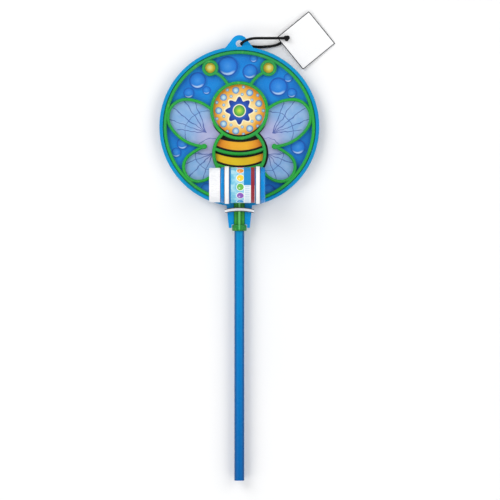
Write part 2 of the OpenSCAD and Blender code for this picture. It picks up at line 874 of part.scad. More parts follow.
// The screw cap: a thin cup with grip flutes down its skirt
module screw_cap() color("white") {
    lay_bottle()
        translate([0, 0, bottle_len + cap_gap])
            difference() {
                cap_cup();
                for (i = [0 : flute_count - 1])
                    rotate([0, 0, i * 360 / flute_count])
                        translate([cap_d / 2 + flute_out, 0, -past])
                            cylinder(h = cap_len - cap_top + past, r = flute_r);
            }
}

// The cap without its flutes
module cap_cup() {
    round = cap_top / 2;
    difference() {
        rotate_extrude() {
            square([cap_d / 2, cap_len - round]);
            square([cap_d / 2 - round, cap_len]);
            translate([cap_d / 2 - round, cap_len - round])
                circle(round);
        }
        translate([0, 0, -past])
            cylinder(h = cap_len - cap_top + past, r = cap_bore_r);
    }
}

// Places its children at the tag's hole, on the tag's underside, turned and tilted with the tag
module at_tag_hole() {
    translate([tag_off[0], hang_y + tag_off[1], tag_rise + seat])
        rotate([0, tag_tilt, tag_turn])
            children();
}

// The tag: a square of plain card, hung by one corner
module hang_tag() color("white") {
    at_tag_hole()
        linear_extrude(tag_t)
            difference() {
                translate([tag_diagonal / 2 - tag_hole_in, 0])
                    rotate(45)
                        square(tag_side, center = true);
                circle(d = tag_hole_d);
            }
}

// The knot: two turns of cord on the tag, a run through its hole and a lump under it
module cord_knot() color("black") {
    r = cord_d / 2;
    top_z = tag_rise + tag_t + 4 * seat;
    translate([tag_off[0], hang_y + tag_off[1], 0]) {
        translate([0, 0, top_z + r])
            rotate_extrude()
                translate([knot_r, 0])
                    circle(r);
        translate([0, 0, top_z + cord_d])
            rotate([0, knot_lean, knot_turn])
                rotate_extrude()
                    translate([r + seat, 0])
                        circle(r);
        translate([0, 0, r + seat])
            cylinder(h = top_z, r = r);
        translate([0, 0, r + seat])
            sphere(r);
    }
}

// One point of a smooth curve through four points, a share of the way from the second to the third
function smooth_point(a, b, c, d, t) =
    (2 * b + (c - a) * t + (2 * a - 5 * b + 4 * c - d) * t * t
    + (3 * b - a - 3 * c + d) * t * t * t) / 2;

// The route with extra points between its own
function smooth_route(p, steps) =
    let (last = len(p) - 1)
    [
        for (i = [0 : last - 1])
            for (s = [0 : steps - 1])
                smooth_point(p[max(i - 1, 0)], p[i], p[i + 1], p[min(i + 2, last)], s / steps),
        p[last],
    ];

function unit(v) = v / norm(v);

// Direction of a route at one of its points
function along_route(p, i) = unit(p[min(i + 1, len(p) - 1)] - p[max(i - 1, 0)]);

// A round tube along a route that never runs straight along Y
module tube(route, d, sides) {
    count = len(route);
    points = [
        for (i = [0 : count - 1])
            let (
                along = along_route(route, i),
                across = unit(cross(along, [0, 1, 0])),
                up = cross(across, along)
            )
            for (k = [0 : sides - 1])
                route[i] + (across * cos(k * 360 / sides) + up * sin(k * 360 / sides)) * d / 2,
    ];
    skin = [
        for (i = [0 : count - 2])
            for (k = [0 : sides - 1])
                let (
                    a = i * sides + k,
                    b = i * sides + (k + 1) % sides
                )
                each [[a, b, b + sides], [a, b + sides, a + sides]],
    ];
    ends = [
        [for (k = [sides - 1 : -1 : 0]) k],
        [for (k = [0 : sides - 1]) (count - 1) * sides + k],
    ];
    polyhedron(points, concat(skin, ends));
}

// The cord: one run from the knot through the hang hole and back to the knot
module tag_cord() color("black") {
    translate([0, hang_y, 0])
        tube(smooth_route(cord_route, cord_steps), cord_d, cord_sides);
}

dip_tray();
printed_card();
wand_frame();
handle_rod();
neck_clip();
strap_cap_end();
strap_base_end();
bottle();
bottle_label();
bubble_solution();
cap_liner();
screw_cap();
tag_cord();
cord_knot();
hang_tag();
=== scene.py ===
"""Dresses a bubble wand set: dip tray, printed card, looped wand on a rod, strapped bottle and hang tag.

Sizes are in millimetres where nothing else is said. The end of a name tells what it is: _x, _y and _z are
places along the frame's axes, _r is a radius, _a an angle in degrees above the X axis, _mm another measure.
"""

import logging
import math
from collections.abc import Callable, Sequence
from dataclasses import dataclass
from enum import Enum
from functools import cached_property

import bpy
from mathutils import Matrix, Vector


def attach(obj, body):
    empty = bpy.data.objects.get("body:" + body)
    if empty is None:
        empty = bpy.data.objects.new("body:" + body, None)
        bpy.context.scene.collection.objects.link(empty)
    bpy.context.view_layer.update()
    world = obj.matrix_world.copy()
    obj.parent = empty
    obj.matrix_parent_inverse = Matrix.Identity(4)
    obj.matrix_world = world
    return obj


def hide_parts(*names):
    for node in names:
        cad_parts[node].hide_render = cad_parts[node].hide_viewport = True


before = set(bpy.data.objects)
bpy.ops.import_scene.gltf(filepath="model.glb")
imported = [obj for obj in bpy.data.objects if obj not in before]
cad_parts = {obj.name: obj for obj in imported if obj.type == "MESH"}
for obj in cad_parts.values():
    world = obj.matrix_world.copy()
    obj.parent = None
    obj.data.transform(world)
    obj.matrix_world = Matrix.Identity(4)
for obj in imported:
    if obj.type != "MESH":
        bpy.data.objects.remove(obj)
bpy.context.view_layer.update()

MM = 0.001
SPECULAR = "Specular IOR Level"
Material = bpy.types.Material
Piece = bpy.types.Object
Colour = tuple[float, float, float]
Point = tuple[float, float]
Span = tuple[float, float]
Place = tuple[float, float, float]
Stops = tuple[tuple[float, Colour], ...]
Fan = tuple[Point, float, tuple[Point, ...]]
log = logging.getLogger("bubble_wand_set")


def tint(red: int, green: int, blue: int) -> Colour:
    """Turns parts from 0 to 255, as on a screen, into the shader's linear colour."""
    shares = (part / 255 for part in (red, green, blue))
    return tuple(s / 12.92 if s <= 0.04045 else ((s + 0.055) / 1.055) ** 2.4 for s in shares)


def shades(*rows: tuple[float, int, int, int]) -> Stops:
    """Lists a ramp's stops, each from its share of the way and its red, green and blue."""
    return tuple((share, tint(*parts)) for share, *parts in rows)


def polar(radius: float, degrees: float) -> Vector:
    """Gives the flat vector of a radius and an angle in degrees."""
    turn = math.radians(degrees)
    return Vector((radius * math.cos(turn), radius * math.sin(turn)))


WHITE = tint(255, 255, 255)
CREAM = tint(250, 240, 200)


def math_step(operation: str, swapped: bool = False) -> "Callable[..., Value]":
    """Makes a method of a value that adds a Math node on it and any other term.

    Args:
        operation: The node's operation.
        swapped: Whether the other term comes first.

    Returns:
        The method.
    """

    def method(self: "Value", *others: "Value | float") -> "Value":
        """Adds the Math node on this value and the other terms."""
        terms = (*others, self) if swapped else (self, *others)
        return self.paint.node("ShaderNodeMath", {"operation": operation}, dict(enumerate(terms)))

    return method


@dataclass(frozen=True)
class Value:
    """A number that changes over a surface: a socket whose sums add Math nodes, with angles in radians."""

    paint: "Paint"
    socket: bpy.types.NodeSocket

    __add__, __radd__ = math_step("ADD"), math_step("ADD", swapped=True)
    __sub__, __rsub__ = math_step("SUBTRACT"), math_step("SUBTRACT", swapped=True)
    __mul__, __rmul__ = math_step("MULTIPLY"), math_step("MULTIPLY", swapped=True)
    __truediv__, __rtruediv__ = math_step("DIVIDE"), math_step("DIVIDE", swapped=True)
    __abs__, cosine, fraction = math_step("ABSOLUTE"), math_step("COSINE"), math_step("FRACT")
    least, most, angle_over = math_step("MINIMUM"), math_step("MAXIMUM"), math_step("ARCTAN2")

    def fade(self, start: float, end: float) -> "Value":
        """Makes a soft mask, 0 at the start and 1 at the end."""
        sockets = {0: self, 1: start, 2: end}
        return self.paint.node("ShaderNodeMapRange", {"interpolation_type": "SMOOTHSTEP"}, sockets)

    def between(self, low: float, high: float, soft: float = 0.2) -> "Value":
        """Masks what lies between two numbers, with soft edges inside them."""
        return self.fade(low, low + soft) * self.fade(high, high - soft)

    def in_steps(self, count: int, shift: float) -> "Value":
        """Measures an angle from its step's middle, with count steps to a turn, shifted by a share of one."""
        return ((self * (count / math.tau) + shift).fraction() - 0.5) * (math.tau / count)

    def other(self, name: str) -> "Value":
        """Takes another output of the same node by its name."""
        return Value(self.paint, self.socket.node.outputs[name])


class Paint:
    """One procedural material while it is being mixed, with its colour so far."""

    def __init__(self, name: str, colour: Colour = WHITE) -> None:
        """Starts a material.

        Args:
            name: The material's name.
            colour: Its first colour, which the others are laid over.
        """
        self.material = bpy.data.materials.new(name)
        self.material.use_nodes = True
        self.tree = self.material.node_tree
        self.shader = self.tree.nodes["Principled BSDF"]
        self.colour: Value | Colour = colour
        self.spot = self.scaled(self.node("ShaderNodeTexCoord", output="Object"), 1 / MM)
        self.x, self.y, self.z = self.split(self.spot)

    @cached_property
    def flat(self) -> Value:
        """The place seen from above, in millimetres."""
        return self.join(self.x, self.y)

    @cached_property
    def half(self) -> Value:
        """The place seen from above, folded to the right half."""
        return self.join(abs(self.x), self.y)

    def node(
        self,
        kind: str,
        settings: dict[str, object] | None = None,
        inputs: dict[int | str, object] | None = None,
        output: int | str = 0,
    ) -> Value:
        """Adds any node.

        Args:
            kind: The node's type.
            settings: Its settings, such as an operation or a ramp's stops, which are set first.
            inputs: The values or links of its sockets, by number or name.
            output: Which output to return.

        Returns:
            The chosen output.
        """
        made = self.tree.nodes.new(kind)
        for name, value in (settings or {}).items():
            if name == "stops":
                self._set_stops(made.color_ramp, value)
            else:
                setattr(made.color_ramp if name == "interpolation" else made, name, value)
        self._feed(made, inputs or {})
        return Value(self, made.outputs[output])

    @staticmethod
    def _set_stops(ramp: bpy.types.ColorRamp, stops: Stops) -> None:
        """Puts a ramp's stops in place of its own two.

        Args:
            ramp: The ramp.
            stops: Places from 0 to 1 and their colours, in order.
        """
        while len(ramp.elements) < len(stops):
            ramp.elements.new(1.0)
        for element, (place, colour) in zip(ramp.elements, stops):
            element.position = place
            element.color = (*colour, 1.0)

    def _feed(self, node: bpy.types.Node, inputs: dict[int | str, object]) -> None:
        """Links values to a node's sockets, or sets the sockets' own numbers and colours.

        Args:
            node: The node.
            inputs: What goes in, by the socket's number or name.
        """
        for key, value in inputs.items():
            socket = node.inputs[key]
            if isinstance(value, Value):
                self.tree.links.new(value.socket, socket)
            else:
                socket.default_value = (*value, 1.0) if socket.type == "RGBA" else value

    def ramp(self, share: Value, stops: Stops, interpolation: str = "LINEAR") -> Value:
        """Colours a share from 0 to 1 by stops."""
        return self.node("ShaderNodeValToRGB", {"stops": stops, "interpolation": interpolation}, {0: share})

    def mix(self, share: Value, under: Value | Colour, over: Value | Colour) -> Value:
        """Mixes an upper colour over a lower one where a mask shows it."""
        return self.node("ShaderNodeMix", {"data_type": "RGBA"}, {0: share, 6: under, 7: over}, output=2)

    def lay(self, share: Value, over: Value | Colour) -> None:
        """Lays a colour over those so far where a mask shows it."""
        self.colour = self.mix(share, self.colour, over)

    def noise(
        self, per_mm: float, detail: float = 3.0, rough: float = 0.5, spot: Value | None = None
    ) -> Value:
        """Adds noise around one half, so many clouds to a millimetre, at a spot or the piece's own place."""
        sockets = {"Vector": spot or self.spot, "Scale": per_mm, "Detail": detail, "Roughness": rough}
        return self.node("ShaderNodeTexNoise", inputs=sockets)

    def vector_math(self, operation: str, *terms: Value | Sequence[float], output: int | str = 0) -> Value:
        """Adds one Vector Math node on these terms."""
        return self.node("ShaderNodeVectorMath", {"operation": operation}, dict(enumerate(terms)), output)

    def scaled(self, vector: Value | Sequence[float], factor: Value | float) -> Value:
        """Scales a vector by a number."""
        return self.node("ShaderNodeVectorMath", {"operation": "SCALE"}, {0: vector, "Scale": factor})

    def split(self, vector: Value) -> tuple[Value, Value, Value]:
        """Takes a vector's three numbers apart."""
        first = self.node("ShaderNodeSeparateXYZ", inputs={0: vector})
        return first, first.other("Y"), first.other("Z")

    def join(self, x: Value, y: Value) -> Value:
        """Joins two numbers into a flat vector."""
        return self.node("ShaderNodeCombineXYZ", inputs={0: x, 1: y})

    def distance(self, spot: Value, centre: Sequence[float]) -> Value:
        """Measures how far a spot is from a fixed flat point, in millimetres."""
        return self.vector_math("DISTANCE", spot, (*centre, 0.0), output="Value")

    def along(self, spot: Value, way: Vector) -> Value:
        """Measures how far a flat spot lies along a direction."""
        return self.vector_math("DOT_PRODUCT", spot, (*way, 0.0), output="Value")

    def line(self, spot: Value, start: Point, end: Point) -> Value:
        """Measures how far a flat spot is from a straight stroke.

        Args:
            spot: The spot, in millimetres.
            start: The stroke's start.
            end: The stroke's end.

        Returns:
            The distance in millimetres.
        """
        run = Vector((*end, 0.0)) - Vector((*start, 0.0))
        away = self.vector_math("SUBTRACT", spot, (*start, 0.0))
        share = self.vector_math("DOT_PRODUCT", away, run / run.length_squared, output="Value")
        held = self.node("ShaderNodeClamp", inputs={0: share})
        return self.vector_math("DISTANCE", away, self.scaled(run, held), output="Value")

    def facing(self) -> tuple[Value, Value, Value]:
        """Gives the way that the surface faces, in the piece's own frame."""
        return self.split(self.node("ShaderNodeTexCoord", output="Normal"))

    def slopes(self, level: float, steep: float) -> Value:
        """Masks the slopes, from faces this level up or down to faces this steep."""
        return abs(self.facing()[2]).fade(level, steep)

    def finish(
        self,
        roughness: Value | float,
        bump: Value | None = None,
        bump_mm: float = 0.02,
        fixed: dict[str, float] | None = None,
    ) -> Material:
        """Joins the colour, the roughness and the bump to the shader.

        Args:
            roughness: The roughness.
            bump: The height of the surface's texture, from 0 to 1.
            bump_mm: How high the texture is.
            fixed: Other sockets of the shader, which are the same all over.

        Returns:
            The material.
        """
        sockets = {"Base Color": self.colour, "Roughness": roughness, **(fixed or {})}
        if bump is not None:
            heights = {"Strength": 1.0, "Distance": bump_mm * MM, "Height": bump}
            sockets["Normal"] = self.node("ShaderNodeBump", inputs=heights)
        self._feed(self.shader, sockets)
        return self.material


class Gloss(Enum):
    """How smooth a moulded surface is."""

    GLOSSY = 0.26
    SATIN = 0.42
    MATT = 0.62


@dataclass(frozen=True)
class MouldedPlastic:
    """Coloured moulded plastic with flow clouding, a fine skin and rubbed places.

    Its clouds have the deep colour, which is also laid on its slopes as painted shade, and its orange peel is
    skin_mm high. Under the skin it passes on the share glow of the light, as far as glow_depth in metres. The
    shine is how much it mirrors the room.
    """

    name: str
    colour: Colour
    deep: Colour
    gloss: Gloss = Gloss.GLOSSY
    clouds_per_mm: float = 0.03
    skin_mm: float = 0.012
    glow: float = 0.0
    glow_depth: float = 0.003
    shine: float = 0.3

    def surface(self, paint: Paint) -> Material:
        """Gives a paint this plastic's gloss, rubbed places and skin.

        Args:
            paint: The paint, with its colour mixed.

        Returns:
            The material.
        """
        rubbed = paint.noise(0.05, 4.0, 0.6).fade(0.45, 0.75)
        drawn_out = paint.vector_math("MULTIPLY", paint.spot, (1.0, 0.06, 1.0))
        scratches = paint.noise(0.35, 2.0, 0.7, drawn_out).fade(0.62, 0.7)
        roughness = self.gloss.value + rubbed * 0.08 + scratches * 0.1
        skin = paint.noise(0.9, 2.0, 0.4) + scratches * 0.3
        fixed = {"Subsurface Weight": self.glow, "Subsurface Scale": self.glow_depth, SPECULAR: self.shine}
        return paint.finish(roughness, skin, self.skin_mm, fixed)

    def clouds(self, paint: Paint) -> Value:
        """Masks the plastic's flow clouding."""
        return paint.noise(self.clouds_per_mm, 4.0, 0.55).fade(0.35, 0.7)

    def paint(self) -> Material:
        """Mixes the plain clouded plastic, with painted shade on its slopes.

        Returns:
            The material.
        """
        paint = Paint(self.name, self.colour)
        # painted shade: the slopes take the deep colour as though turned from the light; the clouds are the
        # plastic's own
        paint.lay((self.clouds(paint) * 0.5).most(paint.slopes(0.95, 0.4) * 0.55), self.deep)
        return self.surface(paint)


@dataclass(frozen=True)
class RodPlastic:
    """The rod's plastic, whose colour changes by stops from low_y to high_y, with painted shade down its
    sides.
    """

    plastic: MouldedPlastic = MouldedPlastic("rod_plastic", tint(2, 130, 204), tint(0, 72, 130), shine=0.16)
    low_y: float = -398.0
    high_y: float = -117.0
    stops: Stops = shades((0.0, 0, 98, 172), (0.45, 0, 120, 194), (0.8, 0, 136, 202), (1.0, 0, 144, 202))

    def paint(self) -> Material:
        """Mixes the graded plastic.

        Returns:
            The material.
        """
        paint = Paint(self.plastic.name)
        paint.colour = paint.ramp((paint.y - self.low_y) / (self.high_y - self.low_y), self.stops)
        # painted shade darkens the rod's sides where they curve away from the light; the faint clouds are the
        # plastic's own
        paint.lay((paint.slopes(0.96, 0.6) * 0.85).most(self.plastic.clouds(paint) * 0.1), self.plastic.deep)
        return self.plastic.surface(paint)


@dataclass(frozen=True)
class Bubble:
    """One printed bubble, with its body's colours outwards, a shade beside it and a glint in it."""

    x: float
    y: float
    r: float
    body: Stops = shades(
        (0.0, 64, 146, 226), (0.45, 36, 130, 220), (0.78, 22, 116, 208), (0.9, 10, 88, 180), (1.0, 8, 78, 168)
    )
    shade: Colour = tint(6, 78, 164)
    glint: Colour = tint(190, 218, 246)

    def _away(self, paint: Paint, right: float = 0.0, up: float = 0.0) -> Value:
        """Measures how many radii a place is from the middle, moved by shares of a radius."""
        return paint.distance(paint.flat, (self.x + right * self.r, self.y + up * self.r)) / self.r

    def draw(self, paint: Paint) -> None:
        """Lays the bubble's shadow, its body and a crescent in its lower half.

        Args:
            paint: The card's paint.
        """
        away = self._away(paint)
        paint.lay(self._away(paint, 0.12, -0.1).fade(1.22, 0.98) * 0.45, self.shade)
        paint.lay(away.fade(1.02, 0.97), paint.ramp(away, self.body))
        crescent = self._away(paint, -0.1, 0.12).fade(0.7, 0.84) * away.fade(0.9, 0.78)
        low = (self.y - paint.y).fade(0.3 * self.r, 0.75 * self.r)
        paint.lay(crescent * low * 0.8, self.glint)


@dataclass(frozen=True)
class Lobe:
    """A round loop of the wand in the direction of way_a, which touches the circle of reach_r from inside.

    Where it is the end of a wing, the wing's edges leave it at edges_a.
    """

    r: float
    way_a: float
    edges_a: Span = (0, 0)
    reach_r: float = 81.2

    @property
    def middle(self) -> Vector:
        """Gives its middle."""
        return polar(self.reach_r - self.r, self.way_a)

    def edge(self, start_a: float, through: Vector) -> tuple[Vector, float, Vector]:
        """Finds the arc that leaves the lobe smoothly and runs through a point.

        Args:
            start_a: The angle on the lobe where the arc starts.
            through: The point.

        Returns:
            The arc's middle, its radius and its start.
        """
        way = polar(1.0, start_a)
        start = self.middle + way * self.r
        run = start - through
        radius = run.length_squared / (2 * run.dot(way))
        return start - way * radius, radius, start


@dataclass(frozen=True)
class FilmLoops:
    """The wand's loops over the card, for the right half.

    Two bars lie across the body. The upper wing ends in the lobe wing and the lower one in tail, and their
    edges run to the head at head_a, to the cusp between the wings and to the body at body_a.
    """

    head_y: float = 18.1
    head_r: float = 31.2
    head_a: float = 2.0
    body_y: float = -30.0
    body_r: float = 28.7
    body_a: float = -31.0
    bar_r: float = 67.0
    bars_y: Point = (-30.8, -47.7)
    feeler: Lobe = Lobe(7.5, 63.6)
    wing: Lobe = Lobe(20.3, 9.7, (92, -32))
    tail: Lobe = Lobe(16.4, -44.3, (50, -95))
    cusp: Point = (39.4, -22.3)


@dataclass(frozen=True)
class CardPrint:
    """The printed card: a blue ground with bubbles, pale wings, a warm head disc and a banded body.

    A band's colours run from left to right, and a round figure's outwards. A fan is where a wing's veins
    start, how far from there their cross vein runs, and their ends. Each of disc_rings is a ring of small
    bubbles on the head disc: their count, the ring's radius, theirs, and the shift of its steps. The wings
    fade out over soft_mm, the bands start gap_mm from a bar, and the petals are a wave of petal_mm.
    """

    loops: FilmLoops = FilmLoops()
    top_z: float = 7.1
    soft_mm: float = 0.6
    bubbles: tuple[Bubble, ...] = (
        Bubble(-13, 68, 11.5), Bubble(12, 62, 8.5), Bubble(16, 77, 4.5), Bubble(-47, 52, 9.5),
        Bubble(-57, 38, 6), Bubble(-37, 41, 4.5), Bubble(44, 45, 10.5), Bubble(55, 55, 5),
        Bubble(59, 38, 5.5), Bubble(66, -23, 8.5), Bubble(-64, -19, 6.5), Bubble(-71, -29, 5.5),
        Bubble(33, -72, 7), Bubble(-37, -70, 6.5), Bubble(12, -72, 5.5),
    )
    ground: Colour = tint(4, 138, 222)
    ground_deep: Colour = tint(4, 112, 202)
    wing: Colour = tint(128, 173, 221)
    wing_inner: Colour = tint(170, 172, 214)
    inner_at: Point = (22, -14)
    inner_r: Span = (38, 16)
    wing_haze: Colour = tint(214, 224, 246)
    vein: Colour = tint(52, 78, 158)
    wing_fan: Fan = ((37, -7), 24, ((50, 28), (62, 29), (74, 21), (78, 8), (70, -4)))
    tail_fan: Fan = ((31, -31), 18, ((55, -31), (62, -42), (57, -56), (42, -60)))
    ink: Colour = tint(12, 14, 12)
    feeler_spot: Stops = shades((0.0, 255, 246, 176), (0.45, 252, 226, 84), (0.85, 226, 184, 46))
    gap_mm: Span = (3.9, 4.5)
    bands_x: Span = (-28, 28)
    bands: tuple[Stops, ...] = (
        shades((0.0, 234, 116, 30), (0.35, 252, 180, 44), (0.65, 254, 186, 44), (1.0, 230, 114, 30)),
        shades((0.0, 252, 196, 30), (0.4, 255, 218, 36), (0.75, 255, 206, 32), (1.0, 244, 160, 28)),
        shades((0.0, 240, 184, 40), (0.5, 250, 210, 48), (1.0, 238, 168, 38)),
    )
    disc: Stops = shades(
        (0.0, 252, 240, 196), (0.5, 246, 218, 150), (0.74, 240, 176, 70), (0.95, 232, 146, 34)
    )
    disc_rings: tuple[tuple[int, float, float, float], ...] = (
        (9, 23.2, 4.0, 0.0), (9, 27.0, 1.9, 0.5), (9, 18.6, 1.7, 0.5),
    )
    disc_bubble: Stops = shades(
        (0.0, 214, 238, 248), (0.55, 150, 206, 236), (0.82, 64, 142, 206), (1.0, 40, 110, 186)
    )
    petal_count: int = 8
    petal_r: float = 13.4
    petal_mm: float = 2.3
    petals: Stops = shades((0.2, 52, 116, 210), (0.65, 30, 74, 170), (1.0, 22, 44, 128))
    heart: Stops = shades((0.0, 206, 226, 74), (0.6, 112, 186, 62), (1.0, 48, 138, 58))

    def paint(self) -> Material:
        """Mixes the whole print.

        Returns:
            The card's material.
        """
        paint = Paint("card_print", self.ground)
        paint.lay(paint.noise(0.035).fade(0.3, 0.72), self.ground_deep)
        for bubble in self.bubbles:
            bubble.draw(paint)
        self._wings(paint)
        self._feelers(paint)
        self._body(paint)
        self._head(paint)
        paint.lay(paint.noise(2.2, 2.0, 0.6).fade(0.4, 0.7) * 0.03, WHITE)
        paint.lay(paint.z.fade(self.top_z - 0.04, self.top_z - 0.12), tint(224, 224, 220))
        fibre = paint.noise(2.4, 3.0, 0.6)
        rubbed = paint.noise(0.06, 4.0, 0.6)
        return paint.finish(rubbed * 0.2 + 0.34, fibre, 0.01, {SPECULAR: 0.2})

    @staticmethod
    def _veins(paint: Paint, fan: Fan) -> Value:
        """Draws a fan of wavering veins and the cross vein that joins them.

        Args:
            paint: The card's paint.
            fan: The fan.

        Returns:
            The mask of the veins.
        """
        start, cross_mm, ends = fan
        waver = paint.noise(0.11, 2.0, 0.5).other("Color")
        spot = paint.vector_math("MULTIPLY_ADD", waver, (5.0, 5.0, 0.0), paint.half)
        spot = paint.vector_math("SUBTRACT", spot, (2.5, 2.5, 0.0))
        nearest = abs(paint.distance(spot, start) - cross_mm) + 0.12
        for end in ends:
            nearest = nearest.least(paint.line(spot, start, end))
        return nearest.fade(0.62, 0.28)

    def _wings(self, paint: Paint) -> None:
        """Lays the pale wings with their haze and their veins.

        Args:
            paint: The card's paint.
        """
        loops = self.loops
        head = Vector((0, loops.head_y)) + polar(loops.head_r, loops.head_a)
        cusp = Vector(loops.cusp)
        body = Vector((0, loops.body_y)) + polar(loops.body_r, loops.body_a)
        upper = self._wing_area(paint, loops.wing, (head, cusp))
        lower = self._wing_area(paint, loops.tail, (cusp, body))
        inner = paint.distance(paint.half, self.inner_at).fade(*self.inner_r)
        wing = paint.mix(inner, self.wing, self.wing_inner)
        wing = paint.mix(paint.noise(0.12).fade(0.35, 0.75) * 0.2, wing, self.wing_haze)
        veins = self._veins(paint, self.wing_fan).most(self._veins(paint, self.tail_fan))
        paint.lay(upper.most(lower), paint.mix(veins * 0.85, wing, self.vein))

    def _wing_area(self, paint: Paint, lobe: Lobe, ends: Sequence[Vector]) -> Value:
        """Masks one wing: its lobe, and the area between its two edges on the inner side of the lobe.

        Args:
            paint: The card's paint.
            lobe: The wing's lobe.
            ends: The points that the edges run to.

        Returns:
            The mask of the wing.
        """
        arcs = [lobe.edge(start_a, end) for start_a, end in zip(lobe.edges_a, ends)]
        chord = arcs[1][2] - arcs[0][2]
        outward = Vector((-chord.y, chord.x)).normalized()
        if outward.dot(lobe.middle) < 0:
            outward = -outward
        limit = outward.dot(arcs[0][2])
        area = paint.along(paint.half, outward).fade(limit + self.soft_mm, limit)
        for middle, radius, _start in arcs:
            area = area.least(paint.distance(paint.half, middle).fade(radius + self.soft_mm, radius))
        return area.most(paint.distance(paint.half, lobe.middle).fade(lobe.r + self.soft_mm, lobe.r))

    def _feelers(self, paint: Paint) -> None:
        """Lays the yellow spots in the feelers' loops.

        Args:
            paint: The card's paint.
        """
        loop = self.loops.feeler
        away = paint.distance(paint.half, loop.middle) / loop.r
        glow = paint.distance(paint.half, loop.middle + Vector((0.8, 1.0))) / loop.r
        paint.lay(away.fade(1.0, 0.94), paint.ramp(glow, self.feeler_spot))

    def _body(self, paint: Paint) -> None:
        """Lays the dark body with its warm bands, which follow the bars over it.

        Args:
            paint: The card's paint.
        """
        loops = self.loops
        beside = paint.distance(paint.flat, (1.0, loops.body_y - 0.3))
        paint.lay(beside.fade(loops.body_r + 3.3, loops.body_r + 2.7), self.ink)
        inside = paint.distance(paint.flat, (0.0, loops.body_y)).fade(loops.body_r - 1.6, loops.body_r - 2.2)
        bands: list[Value] = []
        for bar_y in (loops.head_y - loops.head_r, *loops.bars_y):
            below = paint.distance(paint.flat, (0.0, loops.bar_r + bar_y)) - loops.bar_r
            if bands:
                bands[-1] = bands[-1].least((0 - below).fade(*self.gap_mm))
            bands.append(below.fade(*self.gap_mm))
        left_x, right_x = self.bands_x
        across = (paint.x - left_x) / (right_x - left_x)
        for band, stops in zip(bands, self.bands):
            paint.lay(band.least(inside), paint.ramp(across, stops))

    def _head(self, paint: Paint) -> None:
        """Lays the warm head disc with rings of small bubbles and a petalled rosette.

        Args:
            paint: The card's paint.
        """
        loops = self.loops
        rise = paint.y - loops.head_y
        away = paint.distance(paint.flat, (0.0, loops.head_y))
        turn = rise.angle_over(paint.x)
        cloud = paint.noise(0.09) - 0.5
        disc = paint.ramp(away / loops.head_r + cloud * 0.5, self.disc)
        for count, ring_r, bubble_r, shift in self.disc_rings:
            spot = paint.join(away - ring_r, turn.in_steps(count, shift) * ring_r)
            off = paint.distance(spot, (0.0, 0.0)) / bubble_r
            disc = paint.mix(off.fade(1.05, 0.92) * 0.92, disc, paint.ramp(off, self.disc_bubble))
        past_petals = away - ((turn * self.petal_count).cosine() * self.petal_mm + self.petal_r)
        disc = paint.mix(past_petals.fade(2.0, 1.5), disc, CREAM)
        disc = paint.mix(past_petals.fade(0.3, -0.2), disc, paint.ramp(away / 16, self.petals))
        disc = paint.mix(away.fade(7.6, 7.2), disc, CREAM)
        disc = paint.mix(away.fade(6.5, 6.1), disc, paint.ramp(away / 6.4, self.heart))
        below = away.fade(loops.head_r + 3.0, loops.head_r + 2.6) * (-4.0 - rise).fade(8.0, 16.0)
        paint.lay(below, self.ink)
        raised = paint.distance(paint.flat, (0.0, loops.head_y + 1.9))
        paint.lay(raised.fade(loops.head_r - 1.5, loops.head_r - 2.1), disc)


@dataclass(frozen=True)
class LabelPrint:
    """The bottle's paper label: a pale field, a column of coloured dots, two panels and a dark strip.

    The axis is the bottle's middle line, as Y and Z, and the dots' colours come in turn around it.
    """

    axis: Point = (-66.3, 32.5)
    radius: float = 19.9
    dots_x: float = 1.2
    dot_r: Span = (3.9, 3.6)
    dot_edge_r: Span = (4.6, 4.3)
    panel_x: Span = (5.0, 5.3)
    rows_x: Span = (6.4, 11.6)
    strip_x: Span = (12.9, 17.2)
    field: Colour = tint(104, 194, 226)
    field_pale: Colour = tint(176, 226, 240)
    panel: Colour = tint(236, 244, 248)
    panel_blue: Colour = tint(16, 140, 206)
    rows: Colour = tint(120, 180, 214)
    strip: Colour = tint(150, 34, 50)
    dot_edge: Colour = tint(248, 250, 246)
    dots: tuple[Colour, ...] = (
        tint(226, 62, 120), tint(240, 150, 46), tint(246, 214, 62),
        tint(110, 190, 80), tint(140, 86, 190), tint(64, 150, 220),
    )

    def paint(self) -> Material:
        """Mixes the label.

        Returns:
            The label's material.
        """
        paint = Paint("label_print", self.field)
        turn = (paint.z - self.axis[1]).angle_over(paint.y - self.axis[0])
        around = turn * self.radius
        paint.lay(paint.noise(0.16, 3.0, 0.55).fade(0.35, 0.7), self.field_pale)
        self._dots(paint, turn)
        panel = paint.x.fade(*self.panel_x)
        upper = around.fade(self.radius * 1.62, self.radius * 1.58)
        paint.lay(panel, self.panel)
        paint.lay(panel * upper, self.panel_blue)
        rows = abs((around * 0.42).fraction() - 0.5).fade(0.16, 0.24)
        paint.lay(rows * paint.x.between(*self.rows_x) * (1 - upper) * 0.4, self.rows)
        paint.lay(paint.x.between(*self.strip_x), self.strip)
        fibre = paint.noise(2.6, 3.0, 0.6)
        return paint.finish(paint.noise(0.1) * 0.16 + 0.3, fibre, 0.008, {SPECULAR: 0.4})

    def _dots(self, paint: Paint, turn: Value) -> None:
        """Lays the column of dots around the bottle, each colour twice.

        Args:
            paint: The label's paint.
            turn: The angle around the bottle.
        """
        count = len(self.dots)
        spot = paint.join(paint.x - self.dots_x, turn.in_steps(2 * count, 0.25) * self.radius)
        off = paint.distance(spot, (0.0, 0.0))
        paint.lay(off.fade(*self.dot_edge_r), self.dot_edge)
        pick = (turn / math.pi + (4 + 0.25 / count)).fraction()
        stops = tuple((n / count, dot) for n, dot in enumerate(self.dots))
        paint.lay(off.fade(*self.dot_r), paint.ramp(pick, stops, "CONSTANT"))
        paint.lay(paint.distance(spot, (-1.0, 1.0)).fade(1.2, 0.6) * 0.5, WHITE)


